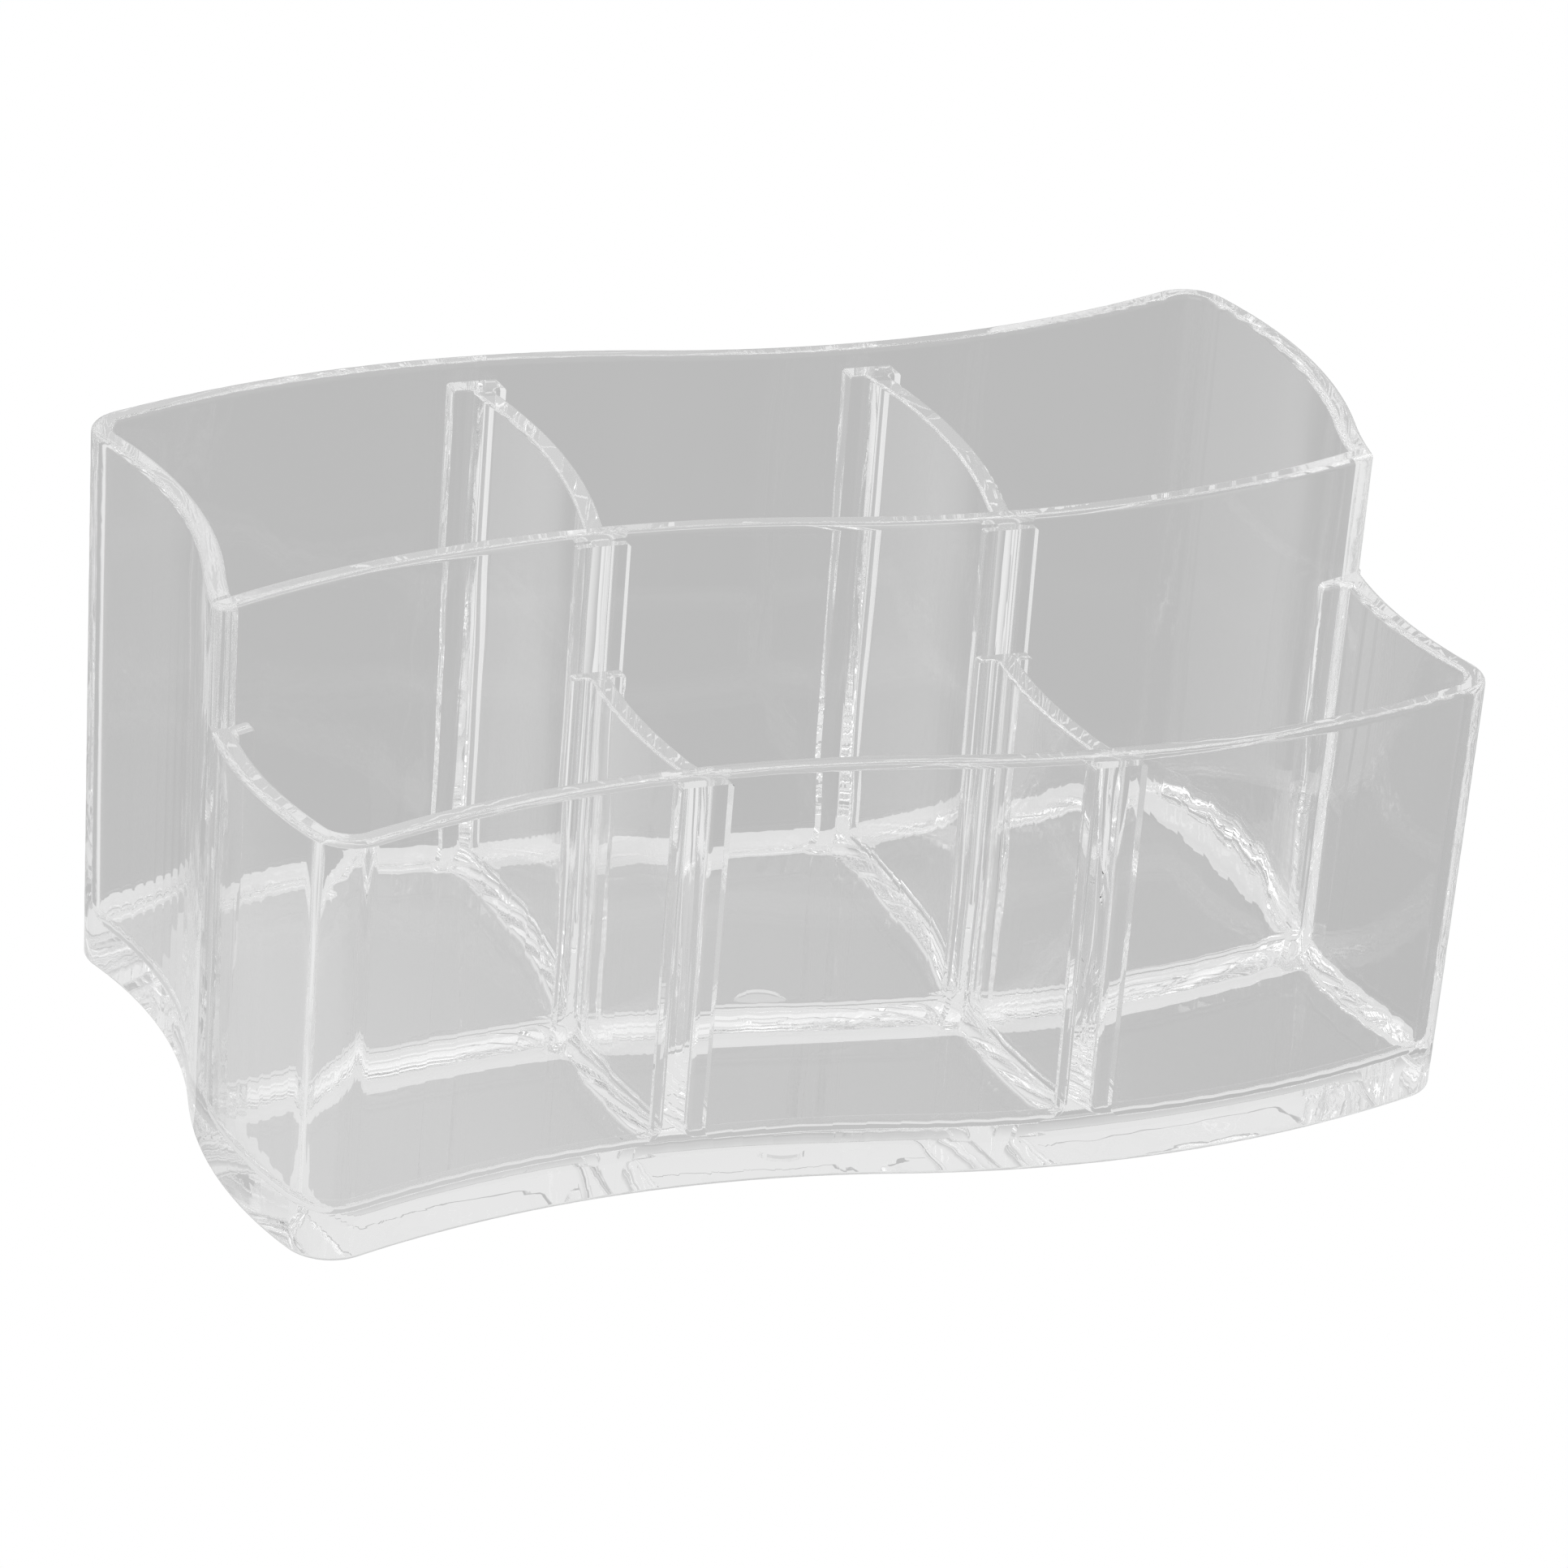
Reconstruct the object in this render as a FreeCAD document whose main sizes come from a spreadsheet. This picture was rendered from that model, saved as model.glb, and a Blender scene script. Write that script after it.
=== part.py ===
"""A clear vanity organizer: two tiers of three compartments with wavy walls.

Millimetres, +Z up, front towards -Y. The origin is at the middle of the underside.
Every outer wall leans out by the draft angle, so the driving plan is the one at the foot.
The long walls swing to the back on the left half and to the front on the right half.
The cross walls swing to the right behind the middle and to the left in front of it.
"""

import FreeCAD, Part
import math
import os
import Sketcher

SIZES = {
    "foot_length": 219,
    "foot_depth": 122.5,
    "corner_radius": 8.6,
    "inner_radius": 4.6,
    "wave_rise": 8,
    "side_swing": 5.1,
    "side_skew": 0.6,
    "draft_angle": 1,
    "rear_height": 104.5,
    "front_height": 81.5,
    "base_height": 7,
    "tier_offset": 14.3,
    "wall": 4,
    "divider_wall": 3.6,
    "divider_spacing": 72,
    "divider_swing": 4,
    "divider_skew": 3,
    "divider_drop": 3.5,
    "flange_depth": 2,
    "flange_round": 1.4,
    "flange_width": 9.6,
    "left_flange_width": 2.2,
    "right_flange_width": 4.6,
    "step_round": 2,
    "rim_round": 1.2,
    "divider_round": 0.6,
    "base_round": 1,
    "gate_radius": 5,
    "gate_depth": 0.6,
    "overrun": 12,
}

# the two arcs of a long wall, from its middle
WAVE_RADIUS = "((Sizes.foot_length^2 / 16 + Sizes.wave_rise^2) / (2 * Sizes.wave_rise))"
WAVE_X = "(Sizes.foot_length / 4)"
WAVE_Y = f"(Sizes.wave_rise - {WAVE_RADIUS})"


def cross_line(swing, skew):
    """Radius, X and Y of the back arc of a cross line, from the line's middle."""
    half_chord = f"(sqrt({skew}^2 + Sizes.foot_depth^2) / 2)"
    radius = f"(({half_chord}^2 / 4 + {swing}^2) / (2 * {swing}))"
    lean = f"(({swing} - {radius}) / (2 * {half_chord}))"
    x = f"({skew} / 4 + Sizes.foot_depth * {lean})"
    y = f"(Sizes.foot_depth / 4 - {skew} * {lean})"
    return radius, x, y


SIDE = cross_line("Sizes.side_swing", "Sizes.side_skew")
DIVIDER = cross_line("Sizes.divider_swing", "Sizes.divider_skew")

BACK_Y = "(Sizes.foot_depth / 2)"
FRONT_Y = "(-Sizes.foot_depth / 2)"
RIGHT_X = "(Sizes.foot_length / 2)"
LEFT_X = "(-Sizes.foot_length / 2)"
CENTRE_Y = "(-Sizes.tier_offset)"
BEYOND_X = "(Sizes.foot_length / 2 + Sizes.overrun)"
BEYOND_Y = "(Sizes.foot_depth / 2 + Sizes.wave_rise + Sizes.overrun)"
INWARD = "(Sizes.wall + Sizes.flange_depth)"
OVER_TOP = "(Sizes.rear_height + Sizes.overrun)"
REAR_TOP = "(Sizes.rear_height - Sizes.divider_drop)"
FRONT_TOP = "(Sizes.front_height - Sizes.divider_drop)"

DIVIDER_X = "(Sizes.divider_spacing / 2)"
DIVIDER_Y = f"({WAVE_Y} + sqrt({WAVE_RADIUS}^2 - ({WAVE_X} - {DIVIDER_X})^2))"

UP = FreeCAD.Vector(0, 0, 1)
ORIGIN = (-1, 1)
START, END, CENTRE = range(1, 4)
CLOSE = 1e-6
# faces that meet at less than this are taken to flow into each other
LEAST_TURN = math.radians(25)


def number(expression):
    """What an expression comes to with the sheet's present sizes."""
    return float(sheet.evalExpression(expression))


def numbers(expressions):
    return tuple(number(expression) for expression in expressions)


def distance(p, q):
    return math.hypot(p[0] - q[0], p[1] - q[1])


def towards(circle, place):
    """The place on a circle (X, Y, radius) in the direction of another place."""
    share = circle[2] / distance(circle, place)
    return tuple(c + (p - c) * share for c, p in zip(circle, place))


def same_x(circle, place):
    """The place on a circle at another place's X, on its side of the centre."""
    x, y, radius = circle
    rise = math.sqrt(radius**2 - (place[0] - x) ** 2)
    return place[0], y + math.copysign(rise, place[1] - y)


def same_y(circle, place):
    """The place on a circle at another place's Y, on its side of the centre."""
    x, y, radius = circle
    run = math.sqrt(radius**2 - (place[1] - y) ** 2)
    return x + math.copysign(run, place[0] - x), place[1]


def circles_meet(a, b, near):
    """Where two circles cross, nearest to a given place."""
    gap = distance(a, b)
    along = (gap**2 + a[2] ** 2 - b[2] ** 2) / (2 * gap)
    across = math.sqrt(a[2] ** 2 - along**2)
    ux, uy = (b[0] - a[0]) / gap, (b[1] - a[1]) / gap
    places = [
        (a[0] + along * ux - side * across * uy, a[1] + along * uy + side * across * ux)
        for side in (1, -1)
    ]
    return min(places, key=lambda place: distance(place, near))


def wave_circles(chord_y, offset):
    """The left and the right arc of a long line; the offset moves the line to the back."""
    return (
        (f"-{WAVE_X}", f"{chord_y} + {WAVE_Y}", f"{WAVE_RADIUS} + {offset}"),
        (WAVE_X, f"{chord_y} - {WAVE_Y}", f"{WAVE_RADIUS} - {offset}"),
    )


def cross_circles(line, x, y, offset):
    """The back and the front arc of a cross line; the offset moves the line to the right."""
    radius, arc_x, arc_y = line
    return (
        (f"{x} + {arc_x}", f"{y} + {arc_y}", f"{radius} + {offset}"),
        (f"{x} - {arc_x}", f"{y} - {arc_y}", f"{radius} - {offset}"),
    )


def swing(line, y):
    """How far a cross line has swung at a Y ahead of its middle."""
    radius, arc_x, arc_y = line
    return f"(-{arc_x} - sqrt({radius}^2 - ({y} + {arc_y})^2))"


def bind(sketch, kind, places, expression):
    """A sketch constraint whose size follows the sheet."""
    constraint = Sketcher.Constraint(kind, *places, number(expression))
    sketch.setExpression(f"Constraints[{sketch.addConstraint(constraint)}]", expression)


def add_arc(sketch, circle, start, end):
    """The shorter arc of a circle between two places on it."""
    first = math.atan2(start[1] - circle[1], start[0] - circle[0])
    last = math.atan2(end[1] - circle[1], end[0] - circle[0])
    if (last - first) % (2 * math.pi) > math.pi:
        first, last = last, first
    if last < first:
        last += 2 * math.pi
    whole = Part.Circle(FreeCAD.Vector(circle[0], circle[1], 0), UP, circle[2])
    return sketch.addGeometry(Part.ArcOfCircle(whole, first, last), False)


def fix_arc(sketch, arc, circle, free_radius=False):
    """Ties an arc to the sheet; a smooth neighbour already settles a free radius."""
    bind(sketch, "DistanceX", (*ORIGIN, arc, CENTRE), circle[0])
    bind(sketch, "DistanceY", (*ORIGIN, arc, CENTRE), circle[1])
    if not free_radius:
        bind(sketch, "Radius", (arc,), circle[2])


def add_line(sketch, start, end):
    return sketch.addGeometry(
        Part.LineSegment(FreeCAD.Vector(*start, 0), FreeCAD.Vector(*end, 0)), False
    )


def fix_line(sketch, line, kind, at):
    """Ties an upright line to an X, or a level line to a Y."""
    sketch.addConstraint(Sketcher.Constraint(kind, line))
    way = "DistanceX" if kind == "Vertical" else "DistanceY"
    bind(sketch, way, (*ORIGIN, line, START), at)


def end_at(sketch, geometry, place):
    """Which end of a line or arc lies at a place."""
    piece = sketch.Geometry[geometry]
    ends = [(p.x, p.y) for p in (piece.StartPoint, piece.EndPoint)]
    return START if distance(ends[0], place) < distance(ends[1], place) else END


def close_outline(sketch, chain):
    """Joins each piece of an outline, given as (geometry, its far end, joint), to the next."""
    for at, (geometry, place, joint) in enumerate(chain):
        following = chain[(at + 1) % len(chain)][0]
        ends = end_at(sketch, geometry, place), end_at(sketch, following, place)
        sketch.addConstraint(
            Sketcher.Constraint(joint, geometry, ends[0], following, ends[1])
        )


def new_sketch(name, height="0"):
    sketch = doc.addObject("Sketcher::SketchObject", name)
    sketch.setExpression("Placement.Base.z", height)
    return sketch


def make_plan_line(name, inset):
    """Four S-shaped sides with sharp corners, at the foot and inside the outer faces by an inset."""
    sides = (
        *wave_circles(BACK_Y, f"(-{inset})"),
        *cross_circles(SIDE, RIGHT_X, "0", f"(-{inset})"),
        *reversed(wave_circles(FRONT_Y, inset)),
        *reversed(cross_circles(SIDE, LEFT_X, "0", inset)),
    )
    circles = [numbers(side) for side in sides]
    pairs = list(zip(circles[::2], circles[1::2]))
    middles = [towards(first, second) for first, second in pairs]
    corners = []
    for turn, middle in enumerate(middles):
        following = (turn + 1) % len(middles)
        near = tuple(map(sum, zip(middle, middles[following])))
        corners.append(circles_meet(pairs[turn][1], pairs[following][0], near))
    sketch = new_sketch(name)
    chain = []
    for turn, ((first, second), middle) in enumerate(zip(pairs, middles)):
        start, end = corners[turn - 1], corners[turn]
        chain += [
            (add_arc(sketch, first, start, middle), middle, "Tangent"),
            (add_arc(sketch, second, middle, end), end, "Coincident"),
        ]
    close_outline(sketch, chain)
    for at, (arc, _, _) in enumerate(chain):
        fix_arc(sketch, arc, sides[at], free_radius=bool(at % 2))
    return sketch


def add_wave(sketch, offset):
    """A line along the centre wall, from left to right, as pieces of an outline."""
    circles = wave_circles(CENTRE_Y, offset)
    left, right = (numbers(circle) for circle in circles)
    ends = numbers((f"-{BEYOND_X}", CENTRE_Y)), numbers((BEYOND_X, CENTRE_Y))
    start, middle, end = same_x(left, ends[0]), towards(left, right), same_x(right, ends[1])
    first, second = add_arc(sketch, left, start, middle), add_arc(sketch, right, middle, end)
    fix_arc(sketch, first, circles[0])
    fix_arc(sketch, second, circles[1], free_radius=True)
    return start, [(first, middle, "Tangent"), (second, end, "Coincident")]


def add_level(sketch, y):
    """A straight line from left to right, as pieces of an outline."""
    start, end = numbers((f"-{BEYOND_X}", y)), numbers((BEYOND_X, y))
    line = add_line(sketch, start, end)
    fix_line(sketch, line, "Horizontal", y)
    return start, [(line, end, "Coincident")]


def make_zone(name, front, back):
    """A solid over the base, between two lines that cross the whole plan."""
    sketch = new_sketch(f"{name}_outline", "Sizes.base_height")
    front_start, front_pieces = front[0](sketch, front[1])
    back_start, back_pieces = back[0](sketch, back[1])
    front_end, back_end = front_pieces[-1][1], back_pieces[-1][1]
    right = add_line(sketch, front_end, back_end)
    left = add_line(sketch, back_start, front_start)
    # the back line runs the other way round the outline, so its joints move along by one
    corners = [back_start] + [piece[1] for piece in back_pieces[:-1]]
    joints = ["Coincident"] + [piece[2] for piece in back_pieces[:-1]]
    turned = [(piece[0], *rest) for piece, *rest in zip(back_pieces, corners, joints)][::-1]
    chain = [*front_pieces, (right, back_end, "Coincident"), *turned]
    close_outline(sketch, [*chain, (left, front_start, "Coincident")])
    fix_line(sketch, right, "Vertical", BEYOND_X)
    fix_line(sketch, left, "Vertical", f"-{BEYOND_X}")
    return extrude(name, sketch, f"{OVER_TOP} - Sizes.base_height")


def make_flange(name, circle, x_left, x_right, far_y, top):
    """A block from a wave's arc to a level line beyond the wall that it stands against."""
    sketch = new_sketch(f"{name}_outline", "Sizes.base_height")
    arc_circle = numbers(circle)
    far_left, far_right = numbers((x_left, far_y)), numbers((x_right, far_y))
    near_left = same_x(arc_circle, (far_left[0], number(CENTRE_Y)))
    near_right = same_x(arc_circle, (far_right[0], number(CENTRE_Y)))
    arc = add_arc(sketch, arc_circle, near_left, near_right)
    right = add_line(sketch, near_right, far_right)
    far = add_line(sketch, far_right, far_left)
    left = add_line(sketch, far_left, near_left)
    ends = (near_right, far_right, far_left, near_left)
    close_outline(
        sketch,
        [(g, end, "Coincident") for g, end in zip((arc, right, far, left), ends)],
    )
    fix_arc(sketch, arc, circle)
    fix_line(sketch, right, "Vertical", x_right)
    fix_line(sketch, far, "Horizontal", far_y)
    fix_line(sketch, left, "Vertical", x_left)
    return extrude(name, sketch, f"{top} - Sizes.base_height")


def make_band(name, x, y, top):
    """A cross wall's S-shaped band, long enough to run through the walls at both ends."""
    half_wall = "(Sizes.divider_wall / 2)"
    sketch = new_sketch(f"{name}_outline", "Sizes.base_height")
    faces = [cross_circles(DIVIDER, x, y, offset) for offset in (f"-{half_wall}", half_wall)]
    back, front = numbers((x, f"{y} + {BACK_Y}")), numbers((x, f"{y} + {FRONT_Y}"))
    chain = []
    for first, second in faces:
        behind, ahead = numbers(first), numbers(second)
        start, middle, end = same_y(behind, back), towards(behind, ahead), same_y(ahead, front)
        arcs = add_arc(sketch, behind, start, middle), add_arc(sketch, ahead, middle, end)
        fix_arc(sketch, arcs[0], first)
        fix_arc(sketch, arcs[1], second, free_radius=True)
        chain.append((start, middle, end, *arcs))
    left, right = chain
    back_line, front_line = add_line(sketch, left[0], right[0]), add_line(sketch, right[2], left[2])
    close_outline(
        sketch,
        [
            (back_line, right[0], "Coincident"),
            (right[3], right[1], "Tangent"),
            (right[4], right[2], "Coincident"),
            (front_line, left[2], "Coincident"),
            (left[4], left[1], "Tangent"),
            (left[3], left[0], "Coincident"),
        ],
    )
    fix_line(sketch, back_line, "Horizontal", f"{y} + {BACK_Y}")
    fix_line(sketch, front_line, "Horizontal", f"{y} + {FRONT_Y}")
    return extrude(name, sketch, f"{top} - Sizes.base_height")


def extrude(name, profile, height, taper=None):
    """A solid straight up from a profile, leaning out all round by the taper."""
    solid = doc.addObject("Part::Extrusion", name)
    solid.Base = profile
    solid.DirMode = "Custom"
    solid.Dir = UP
    solid.Solid = True
    solid.setExpression("LengthFwd", height)
    if taper:
        solid.setExpression("TaperAngle", taper)
    return solid


def fuse(name, *shapes):
    result = doc.addObject("Part::MultiFuse", name)
    result.Shapes = shapes
    result.Refine = True
    return result


def common(name, base, tool):
    result = doc.addObject("Part::Common", name)
    result.Base = base
    result.Tool = tool
    return result


def cut(name, base, tool):
    result = doc.addObject("Part::Cut", name)
    result.Base = base
    result.Tool = tool
    return result


def level_edges(shape, level):
    """The names of the edges that lie at one level."""
    return [
        f"Edge{at}"
        for at, edge in enumerate(shape.Edges, 1)
        if all(abs(vertex.Z - level) < CLOSE for vertex in edge.Vertexes)
    ]


def top_edges(shape):
    return level_edges(shape, max(vertex.Z for vertex in shape.Vertexes))


def bottom_edges(shape):
    return level_edges(shape, min(vertex.Z for vertex in shape.Vertexes))


def free_top_edges(neighbour):
    """A choice of the top edges that don't lie against a neighbour."""
    doc.recompute()

    def choose(shape):
        free = []
        for name in top_edges(shape):
            edge = shape.getElement(name)
            middle = edge.valueAt((edge.FirstParameter + edge.LastParameter) / 2)
            if Part.Vertex(middle).distToShape(neighbour.Shape)[0] > CLOSE:
                free.append(name)
        return free

    return choose


def upright_corners(shape):
    """The names of the edges where two curved faces meet at an angle."""
    names = []
    for at, edge in enumerate(shape.Edges, 1):
        faces = shape.ancestorsOfType(edge, Part.Face)
        if len(faces) < 2 or any(isinstance(face.Surface, Part.Plane) for face in faces):
            continue
        point = edge.valueAt((edge.FirstParameter + edge.LastParameter) / 2)
        normals = [face.normalAt(*face.Surface.parameter(point)) for face in faces]
        if normals[0].cross(normals[1]).Length > math.sin(LEAST_TURN):
            names.append(f"Edge{at}")
    return names


def rounded(name, base, choose, radius):
    """A body that takes a solid and rounds the chosen edges."""
    doc.recompute()
    body = doc.addObject("PartDesign::Body", name)
    body.BaseFeature = base
    doc.recompute()
    blank = body.Group[0]
    fillet = body.newObject("PartDesign::Fillet", f"{name}_round")
    fillet.Base = (blank, choose(blank.Shape))
    fillet.setExpression("Radius", radius)
    body.Tip = fillet
    return body


def make_block(name, line, height, corner_radius):
    """A solid that leans out all round from a line at the foot, with round upright corners."""
    sharp = extrude(f"{name}_sharp", line, height, "Sizes.draft_angle")
    return rounded(name, sharp, upright_corners, corner_radius)


def make_base():
    """The slab under everything, round below, with the mark of the moulding gate."""
    slab = make_block("base_blank", outline, "Sizes.base_height", "Sizes.corner_radius")
    smooth = rounded("base_smooth", slab, bottom_edges, "Sizes.base_round")
    gate = doc.addObject("Part::Cylinder", "gate_mark")
    gate.setExpression("Radius", "Sizes.gate_radius")
    gate.setExpression("Height", "Sizes.gate_depth")
    return cut("base_slab", smooth, gate)


def make_rear_tier():
    """The tall outer wall behind, and the wall between the tiers."""
    tall = make_block("tall_block", outline, "Sizes.rear_height", "Sizes.corner_radius")
    behind = make_zone("behind_front", (add_wave, "0"), (add_level, BEYOND_Y))
    stepped = common("stepped_block", tall, behind)
    above = doc.addObject("Part::Box", "above_front")
    above.setExpression("Length", f"2 * {BEYOND_X}")
    above.setExpression("Width", f"2 * {BEYOND_Y}")
    above.setExpression("Height", "Sizes.rear_height")
    above.setExpression("Placement.Base.x", f"-{BEYOND_X}")
    above.setExpression("Placement.Base.y", f"-{BEYOND_Y}")
    above.setExpression("Placement.Base.z", "Sizes.front_height")
    upper = common("upper_block", stepped, above)
    upper = rounded("upper_smooth", upper, upright_corners, "Sizes.step_round")
    lower = cut("lower_block", stepped, above)
    whole = fuse("tall_solid", upper, lower)
    cavity = common("rear_cavity", core, rear_zone)
    hollow = cut("tall_hollow", whole, cavity)
    centre = common("centre_blank", hollow, middle_zone)
    shell = common("rear_blank", hollow, rear_zone)
    return (
        rounded("centre_wall", centre, top_edges, "Sizes.rim_round"),
        rounded("rear_shell", shell, free_top_edges(centre), "Sizes.rim_round"),
    )


def make_front_tier(centre):
    """The low outer wall in front, thicker where it ends at the centre wall."""
    low = make_block("low_block", outline, "Sizes.front_height", "Sizes.corner_radius")
    left_face, right_face = wave_circles(CENTRE_Y, "(-Sizes.flange_depth)")
    run = swing(SIDE, CENTRE_Y)
    left_end = f"{LEFT_X} + {run} + Sizes.wall + Sizes.left_flange_width"
    right_end = f"{RIGHT_X} + {run} - Sizes.wall - Sizes.right_flange_width"
    left = make_flange(
        "left_end_flange", left_face, f"-{BEYOND_X}", left_end, BEYOND_Y, OVER_TOP
    )
    right = make_flange(
        "right_end_flange", right_face, right_end, BEYOND_X, BEYOND_Y, OVER_TOP
    )
    cavity = cut("right_of_left_flange", core, left)
    cavity = cut("between_end_flanges", cavity, right)
    cavity = rounded("front_cavity", cavity, upright_corners, "Sizes.flange_round")
    shell = common("front_blank", cut("low_hollow", low, cavity), front_zone)
    return rounded("front_shell", shell, free_top_edges(centre), "Sizes.rim_round")


def make_divider(name, x, y, top, flanges, zone):
    """An S-shaped divider with a flange at both ends, hollow-rounded into them."""
    parts = [common(f"{name}_web", make_band(f"{name}_band", x, y, top), zone)]
    for end, (circle, run, far_y) in flanges.items():
        sides = [f"{x} + {run} {way} Sizes.flange_width / 2" for way in "-+"]
        parts.append(make_flange(f"{name}_{end}", circle, *sides, far_y, top))
    whole = fuse(f"{name}_blank", *parts)
    hollowed = rounded(f"{name}_hollowed", whole, upright_corners, "Sizes.flange_round")
    smooth = rounded(f"{name}_smooth", hollowed, top_edges, "Sizes.divider_round")
    return common(name, common(f"{name}_in_core", smooth, core), zone)


def make_dividers():
    """Two dividers in each tier, all four on the same two lines across the body."""
    made = []
    # the swing at one end of a cross line is opposite to the swing at the other end
    run_at_front = swing(DIVIDER, f"({FRONT_Y} + {INWARD})")
    run_behind_centre = swing(DIVIDER, f"({CENTRE_Y} + {INWARD})")
    run_before_centre = swing(DIVIDER, f"({CENTRE_Y} - Sizes.flange_depth)")
    places = (("left", f"-{DIVIDER_X}", DIVIDER_Y), ("right", DIVIDER_X, f"-{DIVIDER_Y}"))
    for side, (hand, x, y) in enumerate(places):
        back_face = wave_circles(BACK_Y, f"(-{INWARD})")[side]
        behind_centre = wave_circles(CENTRE_Y, INWARD)[side]
        before_centre = wave_circles(CENTRE_Y, "(-Sizes.flange_depth)")[side]
        front_face = wave_circles(FRONT_Y, INWARD)[side]
        rear_flanges = {
            "back": (back_face, f"-{run_at_front}", BEYOND_Y),
            "front": (behind_centre, run_behind_centre, f"-{BEYOND_Y}"),
        }
        front_flanges = {
            "back": (before_centre, run_before_centre, BEYOND_Y),
            "front": (front_face, run_at_front, f"-{BEYOND_Y}"),
        }
        made += [
            make_divider(f"rear_divider_{hand}", x, y, REAR_TOP, rear_flanges, rear_zone),
            make_divider(f"front_divider_{hand}", x, y, FRONT_TOP, front_flanges, front_zone),
        ]
    return made


doc = FreeCAD.newDocument("vanity_organizer")
sheet = doc.addObject("Spreadsheet::Sheet", "Sizes")
for row, (alias, size) in enumerate(SIZES.items(), 1):
    sheet.set(f"A{row}", alias)
    sheet.set(f"B{row}", str(size))
    sheet.setAlias(f"B{row}", alias)
doc.recompute()

outline = make_plan_line("outer_line", "0")
inner_line = make_plan_line("inner_line", "Sizes.wall")
core = make_block("core", inner_line, OVER_TOP, "Sizes.inner_radius")
rear_zone = make_zone("rear_zone", (add_wave, "Sizes.wall"), (add_level, BEYOND_Y))
middle_zone = make_zone("middle_zone", (add_wave, "0"), (add_wave, "Sizes.wall"))
front_zone = make_zone("front_zone", (add_level, f"-{BEYOND_Y}"), (add_wave, "0"))
centre_wall, rear_shell = make_rear_tier()
front_shell = make_front_tier(centre_wall)
pieces = [make_base(), centre_wall, rear_shell, front_shell, *make_dividers()]
doc.recompute()

for thing in doc.Objects:
    if "Invalid" in thing.State or "Error" in thing.State:
        raise RuntimeError(f"{thing.Label} did not build: {thing.getStatusString()}")
os.makedirs("parts", exist_ok=True)
for piece in pieces:
    if piece.Shape.isNull() or not piece.Shape.isValid() or len(piece.Shape.Solids) != 1:
        raise RuntimeError(f"{piece.Label} is not one sound solid")
    piece.Shape.exportStep(f"parts/{piece.Label}.step")
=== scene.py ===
"""The looks of the clear vanity organizer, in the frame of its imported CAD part."""

import math

import bmesh
import bpy
import numpy as np
from mathutils import Matrix, Vector


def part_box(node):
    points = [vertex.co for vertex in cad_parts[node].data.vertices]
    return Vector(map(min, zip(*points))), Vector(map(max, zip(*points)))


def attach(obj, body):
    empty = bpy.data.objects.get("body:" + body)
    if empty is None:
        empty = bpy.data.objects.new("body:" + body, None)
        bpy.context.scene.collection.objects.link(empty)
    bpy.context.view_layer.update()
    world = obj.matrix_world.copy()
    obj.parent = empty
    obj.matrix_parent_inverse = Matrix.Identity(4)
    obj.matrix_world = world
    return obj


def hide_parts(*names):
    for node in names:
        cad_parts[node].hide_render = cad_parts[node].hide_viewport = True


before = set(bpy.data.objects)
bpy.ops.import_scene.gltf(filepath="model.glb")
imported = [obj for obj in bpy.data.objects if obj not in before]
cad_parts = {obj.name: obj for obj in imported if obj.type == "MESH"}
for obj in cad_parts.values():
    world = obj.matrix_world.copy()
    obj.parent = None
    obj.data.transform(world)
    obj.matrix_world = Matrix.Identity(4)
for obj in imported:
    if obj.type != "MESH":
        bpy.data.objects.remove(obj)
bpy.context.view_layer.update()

# the skin, in metres
OVERLAP = 3e-5
WELD = 1e-6
SHARP = math.radians(35)
LEAST_SHELL = 100
LEVEL = 0.99

# the hollow rounding at the foot of the walls, in metres
COVE = 4e-3
COVE_STEPS = 8
COVE_WELD = 1e-7
STEP = 1.5e-4
SUNK = 1e-4
SLACK = 2e-5
LEAST_SPREAD = 0.5

# the plastic: its surface is calm on the base and uneven on the walls
REFRACTION = 1.49
CALM, CALM_TOP, UNEVEN_FROM = 0.15, 0.007, 0.02
BOUNCES = 64

# the foot on the floor, in metres, and parts of it as shares of the way from the middle
FOOT = 0.112, 0.0625
WAVE_LENGTH, WAVE_RISE = 0.219, 0.008
CENTRE_WALL, CENTRE_WALL_HALF = 0.0123, 0.0045
GATE_RADIUS = 0.005
OUTER_WALL_FROM = 0.93
BEHIND_TO = 1.16

# grey levels that the plastic shows, as (place, level) stops: painted light on a floor patch under
# the object, lighter towards the left and lighter again under the walls, just past the foot's front
# and back and on the gate; then the world's sky and ground
PAINTED_FLOOR_LIGHT = (0.1, 0.6), (0.45, 0.53), (0.9, 0.48)
PAINTED_LIGHT_UNDER_WALLS, PAINTED_LIGHT_PAST_FOOT, PAINTED_LIGHT_ON_GATE = 0.78, 0.8, 0.66
SKY_THROUGH = (0, 0.5), (0.15, 0.62), (0.45, 0.8)
SKY_REFLECTED = (0, 0.5), (0.15, 0.65), (0.45, 0.98)
GROUND_THROUGH = (0.3, 0.84), (0.5, 0.5)
GROUND_REFLECTED = 0.5
HORIZON = -0.15, 0.1

FLOOR_SIZE = 6
FLOOR_DEPTH = 0.0003
FLOOR_COLOUR = 0.5

# name, place, size and power of each lamp
AIM = Vector((0, 0, 0.05))
LAMPS = (
    ("key", (-1.5, -1.2, 2.6), (2.4, 2.4), 16),
    ("top", (0.6, 1.2, 2.6), (2.4, 1.6), 1.5),
)

# the camera, fitted to the photograph's lines
TURN, LIFT, ROLL = 0.47008, -1.10649, -0.0792
MIDDLE = Vector((0, 0, 0.05227))
SHIFT = Vector((-1.709, 4.721, -1617.317)) / 1000
PHOTO_WIDTH, FOCAL_PIXELS = 1932, 11225.432
SENSOR_WIDTH = 36
NEAREST, FARTHEST = 0.01, 50


def linked(name, data):
    """A new object in the scene."""
    made = bpy.data.objects.new(name, data)
    bpy.context.scene.collection.objects.link(made)
    return made


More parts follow.
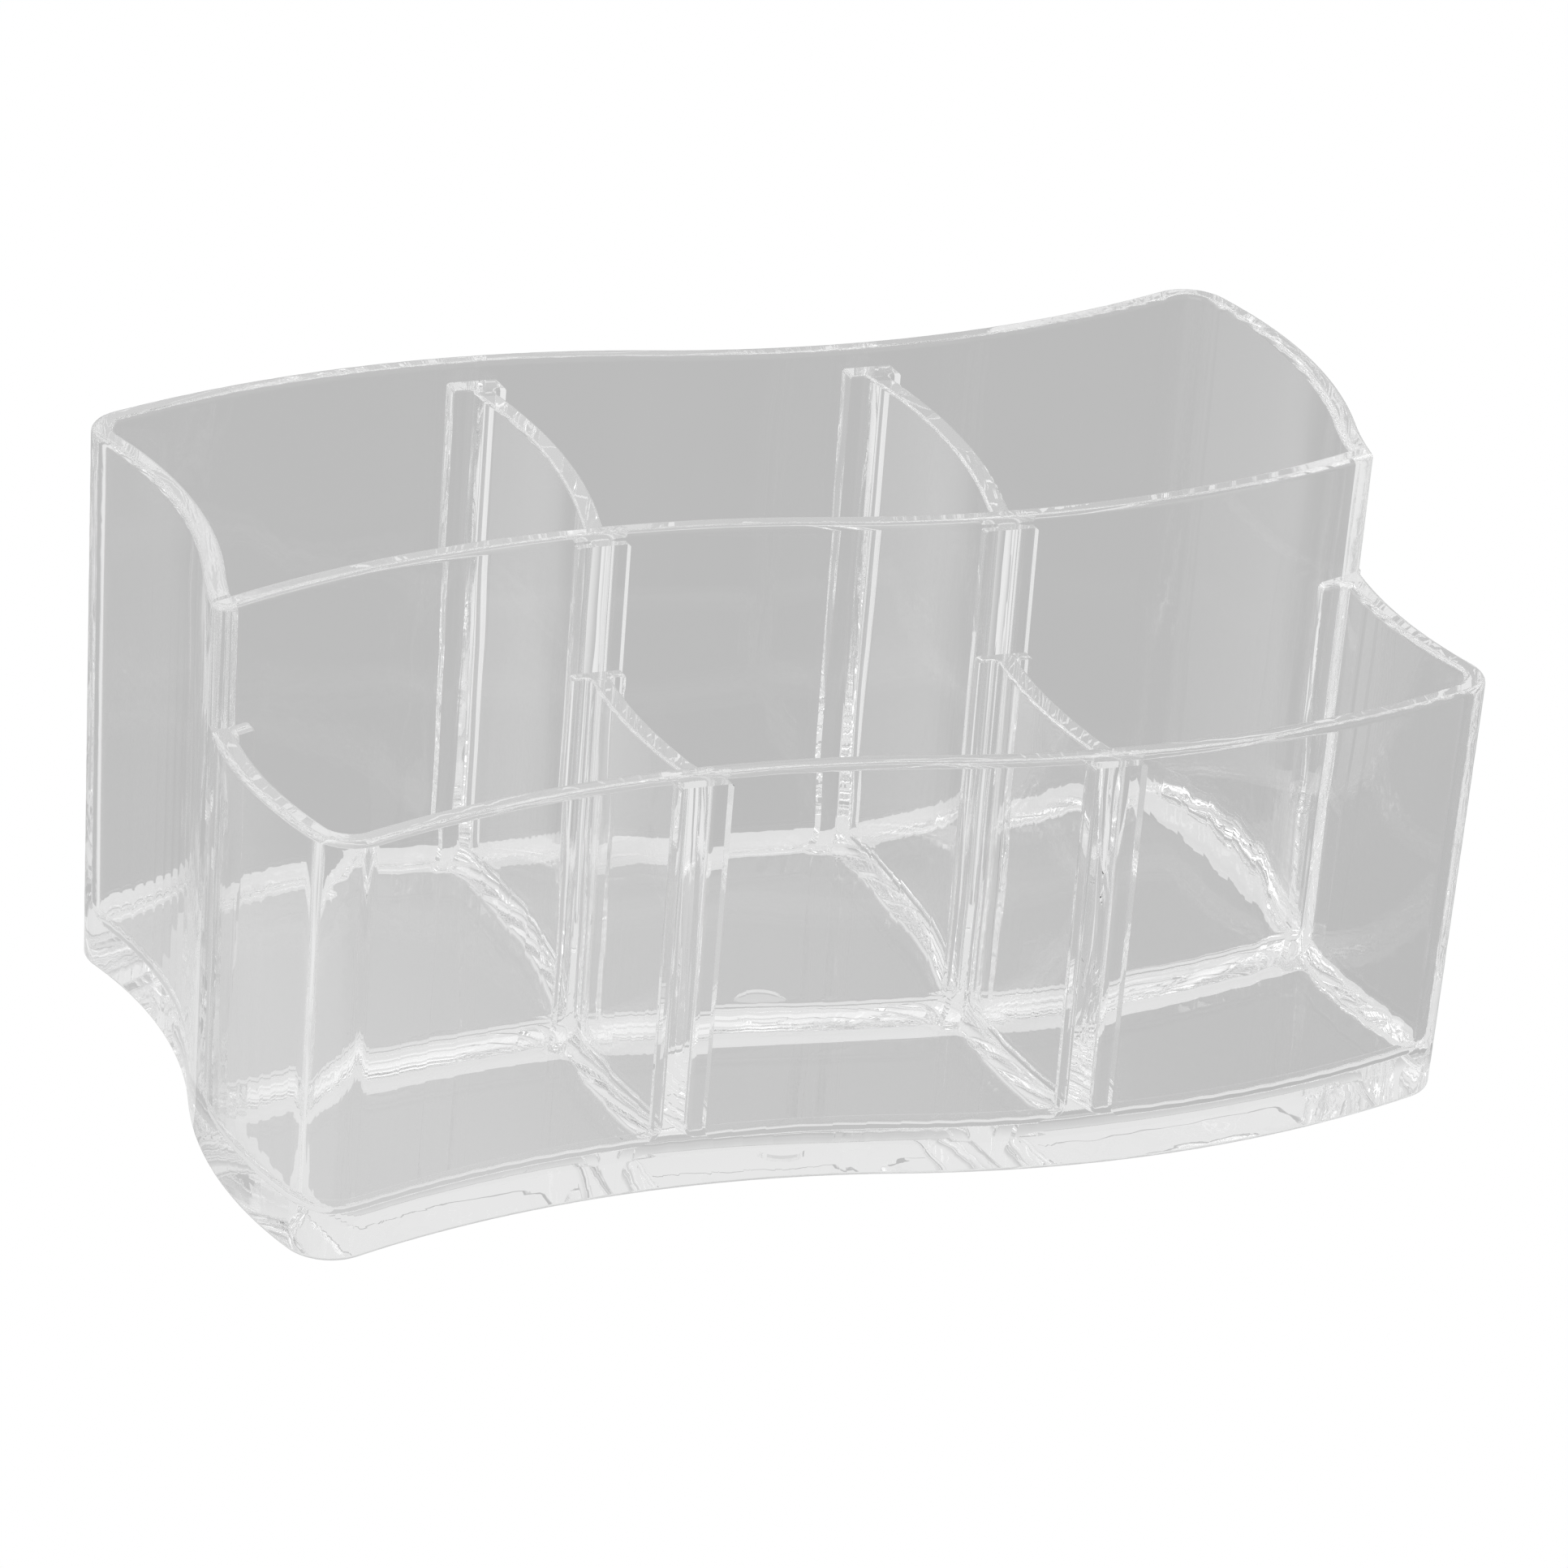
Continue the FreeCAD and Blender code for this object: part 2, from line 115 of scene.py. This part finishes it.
def map_range(tree, value, low, high, to_low=0, to_high=1):
    """A value between two bounds, moved to lie between two others."""
    node = tree.nodes.new("ShaderNodeMapRange")
    node.inputs["From Min"].default_value = low
    node.inputs["From Max"].default_value = high
    node.inputs["To Min"].default_value = to_low
    node.inputs["To Max"].default_value = to_high
    tree.links.new(value, node.inputs["Value"])
    return node.outputs[0]


def split(tree, place):
    """The X, Y and Z of a place or way."""
    node = tree.nodes.new("ShaderNodeSeparateXYZ")
    tree.links.new(place, node.inputs[0])
    return node.outputs


def calculate(tree, operation, first, second=None):
    node = tree.nodes.new("ShaderNodeMath")
    node.operation = operation
    for socket, value in zip(node.inputs, (first, second)):
        if isinstance(value, (int, float)):
            socket.default_value = value
        elif value is not None:
            tree.links.new(value, socket)
    return node.outputs[0]


def ramp(tree, value, stops):
    """A grey that follows a value, from stops of (place, level)."""
    node = tree.nodes.new("ShaderNodeValToRGB")
    node.color_ramp.interpolation = "EASE"
    elements = node.color_ramp.elements
    for at, (place, level) in enumerate(stops):
        stop = elements[at] if at < len(elements) else elements.new(place)
        stop.position = place
        stop.color = (level, level, level, 1)
    tree.links.new(value, node.inputs[0])
    return node.outputs[0]


def blend(tree, factor, first, second):
    """The first colour or grey level where the factor is 0, and the second where it is 1."""
    node = tree.nodes.new("ShaderNodeMix")
    node.data_type = "RGBA"
    tree.links.new(factor, node.inputs["Factor"])
    for socket, colour in ((node.inputs["A"], first), (node.inputs["B"], second)):
        if isinstance(colour, (int, float)):
            socket.default_value = (colour, colour, colour, 1)
        else:
            tree.links.new(colour, socket)
    return node.outputs["Result"]


def blend_shaders(tree, factor, first, second):
    node = tree.nodes.new("ShaderNodeMixShader")
    for socket, value in zip(node.inputs, (factor, first, second)):
        tree.links.new(value, socket)
    return node.outputs[0]


def clear_plastic():
    """Polished plastic, slightly uneven where it flowed up the walls and over the floor."""
    material = bpy.data.materials.new("clear_plastic")
    material.use_nodes = True
    tree = material.node_tree
    shader = tree.nodes["Principled BSDF"]
    shader.inputs["Base Color"].default_value = (1, 1, 1, 1)
    shader.inputs["Roughness"].default_value = 0
    shader.inputs["IOR"].default_value = REFRACTION
    shader.inputs["Transmission Weight"].default_value = 1
    where = tree.nodes.new("ShaderNodeTexCoord").outputs["Object"]
    strength = map_range(tree, split(tree, where)["Z"], CALM_TOP, UNEVEN_FROM, CALM)

    def unevenness(stretch, scale, detail, height, under=None):
        along = tree.nodes.new("ShaderNodeMapping")
        along.inputs["Scale"].default_value = stretch
        tree.links.new(where, along.inputs["Vector"])
        noise = tree.nodes.new("ShaderNodeTexNoise")
        noise.inputs["Scale"].default_value = scale
        noise.inputs["Detail"].default_value = detail
        tree.links.new(along.outputs["Vector"], noise.inputs["Vector"])
        bump = tree.nodes.new("ShaderNodeBump")
        bump.inputs["Distance"].default_value = height
        tree.links.new(noise.outputs["Fac"], bump.inputs["Height"])
        tree.links.new(strength, bump.inputs["Strength"])
        if under:
            tree.links.new(under, bump.inputs["Normal"])
        return bump.outputs["Normal"]

    swells = unevenness(stretch=(0.6, 0.6, 0.8), scale=60, detail=0, height=3.5e-4)
    streaks = unevenness(stretch=(1, 1, 0.08), scale=110, detail=1, height=6e-5, under=swells)
    tree.links.new(streaks, shader.inputs["Normal"])
    return material


def grown_copy(name, node):
    """A closed copy of a node, a little larger all round, so that it overlaps what it touches."""
    grown = bmesh.new()
    grown.from_mesh(node.data)
    bmesh.ops.remove_doubles(grown, verts=grown.verts, dist=WELD)
    grown.normal_update()
    for vertex in grown.verts:
        vertex.co += vertex.normal * OVERLAP
    mesh = bpy.data.meshes.new(f"{name}_grown")
    grown.to_mesh(mesh)
    grown.free()
    mesh.materials.clear()
    mesh.materials.append(bpy.data.materials.new(name))
    return linked(f"{name}_grown", mesh)


def shells(whole):
    """The vertices of each connected part."""
    left = set(whole.verts)
    while left:
        shell = [left.pop()]
        for vertex in shell:
            for edge in vertex.link_edges:
                other = edge.other_vert(vertex)
                if other in left:
                    left.remove(other)
                    shell.append(other)
        yield shell


def drop_specks(whole):
    for shell in list(shells(whole)):
        if len(shell) < LEAST_SHELL:
            bmesh.ops.delete(whole, geom=shell, context="VERTS")


def floor_outlines(mesh, base):
    """The outline of each compartment's floor, as points in order with the air on the left."""
    whole = bmesh.new()
    whole.from_mesh(mesh)
    whole.normal_update()

    def on_floor(face):
        return face.normal.z > LEVEL and abs(face.calc_center_median().z - base) < 4 * OVERLAP

    follow = {}
    for face in filter(on_floor, whole.faces):
        for loop in face.loops:
            if not on_floor(loop.link_loop_radial_next.face):
                follow[loop.vert] = loop.link_loop_next.vert
    outlines = []
    while follow:
        start, at = follow.popitem()
        outline = [start.co.xy.copy()]
        while at != start and at in follow:
            outline.append(at.co.xy.copy())
            at = follow.pop(at)
        if at == start:
            outlines.append(outline)
    whole.free()
    return [outline for outline in outlines if len(outline) > LEAST_SHELL]


def evened(outline):
    """An outline without the points that lie closer together than a step."""
    kept = [outline[0]]
    for point in outline[1:]:
        if (point - kept[-1]).length > STEP:
            kept.append(point)
    if (kept[-1] - kept[0]).length < STEP:
        kept.pop()
    return np.array(kept)


def distances(points, outline):
    """How far each point lies from an outline."""
    ways = np.roll(outline, -1, axis=0) - outline
    spans = (ways**2).sum(axis=1)
    least = np.full(len(points), np.inf)
    for start, way, span in zip(outline, ways, spans):
        along = np.clip((points - start) @ way / span, 0, 1)
        gaps = np.linalg.norm(points - start - along[:, None] * way, axis=1)
        least = np.minimum(least, gaps)
    return least


def moved_in(outline, ways, depth):
    """An outline moved in by a depth; where it would cross itself, its points meet in one."""
    ring = outline + ways * depth
    crossed = distances(ring, outline) < depth - SLACK
    if depth == 0 or not crossed.any() or crossed.all():
        return ring
    count = len(ring)
    start = int(np.argmin(crossed))
    run = []
    for step in range(count + 1):
        at = (start + step) % count
        if crossed[at]:
            run.append(at)
        elif run:
            ring[run] = (ring[run[0] - 1] + ring[at]) / 2
            run = []
    return ring


def inward(outline):
    """For each point, the way that moves both lines beside it in by one."""
    sides = np.roll(outline, -1, axis=0) - outline
    sides /= np.linalg.norm(sides, axis=1)[:, None]
    square = np.stack([-sides[:, 1], sides[:, 0]], axis=1)
    before = np.roll(square, 1, axis=0)
    spread = np.maximum(1 + (before * square).sum(axis=1), LEAST_SPREAD)
    return (before + square) / spread[:, None]


def cove(name, outline, base):
    """A closed strip that rounds the foot of the walls along one outline."""
    ways = inward(outline)
    turns = [math.pi / 2 * at / COVE_STEPS for at in range(COVE_STEPS, -1, -1)]
    profile = [(COVE * (1 - math.sin(turn)), COVE * (1 - math.cos(turn))) for turn in turns]
    rings = [(moved_in(outline, ways, across), base + up) for across, up in profile]
    deepest = rings[-1][0]
    outside = outline - ways * SUNK
    rings = [(outside, base + COVE), *rings, (deepest, base - SUNK), (outside, base - SUNK)]
    strip = bmesh.new()
    rows = [[strip.verts.new((x, y, z)) for x, y in ring] for ring, z in rings]
    count = len(outline)
    for row, below in zip(rows, rows[1:] + rows[:1]):
        for at in range(count):
            nearby = (at + 1) % count
            strip.faces.new((row[at], row[nearby], below[nearby], below[at]))
    bmesh.ops.remove_doubles(strip, verts=strip.verts, dist=COVE_WELD)
    bmesh.ops.triangulate(strip, faces=strip.faces)
    bmesh.ops.recalc_face_normals(strip, faces=strip.faces)
    mesh = bpy.data.meshes.new(name)
    strip.to_mesh(mesh)
    strip.free()
    mesh.materials.append(bpy.data.materials["base_slab"])
    return linked(name, mesh)


def joined(pieces):
    """The outside of some closed pieces as one mesh, whose faces keep their materials."""
    first = pieces[0]
    for other in pieces[1:]:
        join = first.modifiers.new(other.name, "BOOLEAN")
        join.operation = "UNION"
        join.solver = "MANIFOLD"
        join.material_mode = "TRANSFER"
        join.object = other
    mesh = bpy.data.meshes.new_from_object(first.evaluated_get(bpy.context.evaluated_depsgraph_get()))
    for piece in pieces:
        bpy.data.objects.remove(piece)
    return mesh


def one_skin(nodes):
    """The outside of all the nodes as one closed mesh, with a material per node."""
    mesh = joined([grown_copy(name, node) for name, node in nodes.items()])
    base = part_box("base_slab")[1].z
    outlines = floor_outlines(mesh, base)
    body = linked("body", mesh)
    coves = [cove(f"cove_{at}", evened(outline), base) for at, outline in enumerate(outlines)]
    mesh = joined([body, *coves])
    whole = bmesh.new()
    whole.from_mesh(mesh)
    drop_specks(whole)
    whole.normal_update()
    for vertex in whole.verts:
        vertex.co -= vertex.normal * OVERLAP
    whole.normal_update()
    for face in whole.faces:
        face.smooth = True
    for edge in whole.edges:
        edge.smooth = edge.calc_face_angle(0) < SHARP
    whole.to_mesh(mesh)
    whole.free()
    return mesh


def smooth_normals(mesh):
    """Each corner's normal, led by the larger faces beside it."""
    holder = linked("holder", mesh)
    weigh = holder.modifiers.new("weigh", "WEIGHTED_NORMAL")
    weigh.keep_sharp = True
    shaped = holder.evaluated_get(bpy.context.evaluated_depsgraph_get()).to_mesh()
    normals = [corner.vector.copy() for corner in shaped.corner_normals]
    bpy.data.objects.remove(holder)
    return normals


def cut_out(skin, normals, at, name, material):
    """The faces of the skin that have one material index, as a piece with the skin's normals."""
    faces = [face for face in skin.polygons if face.material_index == at]
    used = sorted({vertex for face in faces for vertex in face.vertices})
    place = {vertex: new for new, vertex in enumerate(used)}
    mesh = bpy.data.meshes.new(name)
    mesh.from_pydata(
        [skin.vertices[vertex].co for vertex in used],
        [],
        [[place[vertex] for vertex in face.vertices] for face in faces],
    )
    for face in mesh.polygons:
        face.use_smooth = True
    mesh.normals_split_custom_set([normals[loop] for face in faces for loop in face.loop_indices])
    mesh.materials.append(material)
    return linked(name, mesh)


def dress(nodes):
    """Puts a clear piece in the place of each node."""
    material = clear_plastic()
    skin = one_skin(nodes)
    normals = smooth_normals(skin)
    for at, name in enumerate([node_material.name for node_material in skin.materials]):
        piece = cut_out(skin, normals, at, f"clear_{name}", material)
        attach(piece, "root")
        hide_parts(name)


def rays(tree):
    """Whether a ray comes from the camera, and whether the plastic reflects it or lets it through."""
    path = tree.nodes.new("ShaderNodeLightPath").outputs
    in_plastic = calculate(tree, "MAXIMUM", path["Is Glossy Ray"], path["Is Transmission Ray"])
    return path["Is Camera Ray"], in_plastic


def painted_floor_light(tree, where):
    """The painted light that the plastic shows of the floor, a grey patch under the object, and 1
    where it shows any, or else 0.
    """
    x, y, _ = split(tree, where)
    turn = calculate(tree, "SINE", calculate(tree, "MULTIPLY", x, 2 * math.pi / WAVE_LENGTH))
    straight = calculate(tree, "ADD", y, calculate(tree, "MULTIPLY", turn, WAVE_RISE))
    share_x = calculate(tree, "DIVIDE", calculate(tree, "ABSOLUTE", x), FOOT[0])
    share_y = calculate(tree, "DIVIDE", calculate(tree, "ABSOLUTE", straight), FOOT[1])
    farthest = calculate(tree, "MAXIMUM", share_x, share_y)
    within = calculate(tree, "LESS_THAN", farthest, 1)
    from_centre = calculate(tree, "ABSOLUTE", calculate(tree, "ADD", straight, CENTRE_WALL))
    under_outer = calculate(tree, "GREATER_THAN", farthest, OUTER_WALL_FROM)
    under_centre = calculate(tree, "LESS_THAN", from_centre, CENTRE_WALL_HALF)
    under_walls = calculate(tree, "MAXIMUM", under_outer, under_centre)
    past_foot = calculate(tree, "GREATER_THAN", share_y, 1)
    behind = calculate(tree, "MULTIPLY", past_foot, calculate(tree, "LESS_THAN", share_x, 1))
    near = calculate(tree, "MULTIPLY", behind, calculate(tree, "LESS_THAN", share_y, BEHIND_TO))
    apart = tree.nodes.new("ShaderNodeVectorMath")
    apart.operation = "LENGTH"
    tree.links.new(where, apart.inputs[0])
    on_gate = calculate(tree, "LESS_THAN", apart.outputs["Value"], GATE_RADIUS)
    # painted light: lighter towards the left, and lighter again under the walls, just past the foot's
    # front and back and on the gate
    painted_light = ramp(tree, map_range(tree, x, -FOOT[0], FOOT[0]), PAINTED_FLOOR_LIGHT)
    for place, level in ((under_walls, PAINTED_LIGHT_UNDER_WALLS), (near, PAINTED_LIGHT_PAST_FOOT), (on_gate, PAINTED_LIGHT_ON_GATE)):
        painted_light = blend(tree, place, painted_light, level)
    return painted_light, calculate(tree, "ADD", within, near)


def floor_material():
    """White to the camera, and to the plastic a grey patch of painted light under the object, with
    sky beyond.
    """
    material = bpy.data.materials.new("floor")
    material.use_nodes = True
    tree = material.node_tree
    tree.nodes.clear()
    out = tree.nodes.new("ShaderNodeOutputMaterial")
    camera_ray, plastic_ray = rays(tree)
    where = tree.nodes.new("ShaderNodeNewGeometry").outputs["Position"]
    painted_light, shown = painted_floor_light(tree, where)
    white = tree.nodes.new("ShaderNodeEmission")
    white.inputs["Color"].default_value = (1, 1, 1, 1)
    # the grey emission is painted light, which glows only in the plastic's reflections and
    # refractions
    grey = tree.nodes.new("ShaderNodeEmission")
    tree.links.new(painted_light, grey.inputs["Color"])
    clear = tree.nodes.new("ShaderNodeBsdfTransparent")
    diffuse = tree.nodes.new("ShaderNodeBsdfDiffuse")
    diffuse.inputs["Color"].default_value = (FLOOR_COLOUR, FLOOR_COLOUR, FLOOR_COLOUR, 1)
    patch = blend_shaders(
        tree, calculate(tree, "SUBTRACT", 1, shown), grey.outputs[0], clear.outputs[0]
    )
    unseen = blend_shaders(tree, plastic_ray, diffuse.outputs[0], patch)
    tree.links.new(blend_shaders(tree, camera_ray, unseen, white.outputs[0]), out.inputs["Surface"])
    return material


def make_floor():
    bpy.ops.mesh.primitive_plane_add(size=FLOOR_SIZE)
    floor = bpy.context.object
    floor.name = "floor"
    floor.location.z = -FLOOR_DEPTH
    floor.data.materials.append(floor_material())


def make_world():
    """White to the camera, and to the plastic a grey sky over a grey ground."""
    world = bpy.data.worlds.new("studio")
    bpy.context.scene.world = world
    world.use_nodes = True
    tree = world.node_tree
    camera_ray, _ = rays(tree)
    x, _, z = split(tree, tree.nodes.new("ShaderNodeTexCoord").outputs["Generated"])
    through = tree.nodes.new("ShaderNodeLightPath").outputs["Is Transmission Ray"]
    sky = blend(tree, through, ramp(tree, z, SKY_REFLECTED), ramp(tree, z, SKY_THROUGH))
    ground_through = ramp(tree, map_range(tree, x, -1, 1), GROUND_THROUGH)
    ground = blend(tree, through, GROUND_REFLECTED, ground_through)
    studio = blend(tree, map_range(tree, z, *HORIZON), ground, sky)
    tree.links.new(blend(tree, camera_ray, studio, 1), tree.nodes["Background"].inputs["Color"])


def make_lamp(name, place, size, power):
    lamp = bpy.data.lights.new(name, "AREA")
    lamp.shape = "RECTANGLE"
    lamp.size, lamp.size_y = size
    lamp.energy = power
    hung = linked(name, lamp)
    hung.location = place
    hung.rotation_euler = (AIM - Vector(place)).to_track_quat("-Z", "Y").to_euler()


def make_camera():
    turned = Matrix.Rotation(LIFT, 3, "X") @ Matrix.Rotation(TURN, 3, "Z")
    turned = Matrix.Rotation(ROLL, 3, "Z") @ turned
    camera = bpy.data.cameras.new("camera")
    camera.sensor_width = SENSOR_WIDTH
    camera.lens = FOCAL_PIXELS / PHOTO_WIDTH * SENSOR_WIDTH
    camera.clip_start, camera.clip_end = NEAREST, FARTHEST
    stand = linked("camera", camera)
    place = MIDDLE - turned.transposed() @ SHIFT
    stand.matrix_world = Matrix.Translation(place) @ turned.transposed().to_4x4()
    bpy.context.scene.camera = stand


dress(dict(sorted(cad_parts.items())))
make_floor()
make_world()
for lamp in LAMPS:
    make_lamp(*lamp)
make_camera()

scene = bpy.context.scene
scene.view_settings.view_transform = "Standard"
scene.cycles.max_bounces = BOUNCES
scene.cycles.glossy_bounces = BOUNCES
scene.cycles.transmission_bounces = BOUNCES
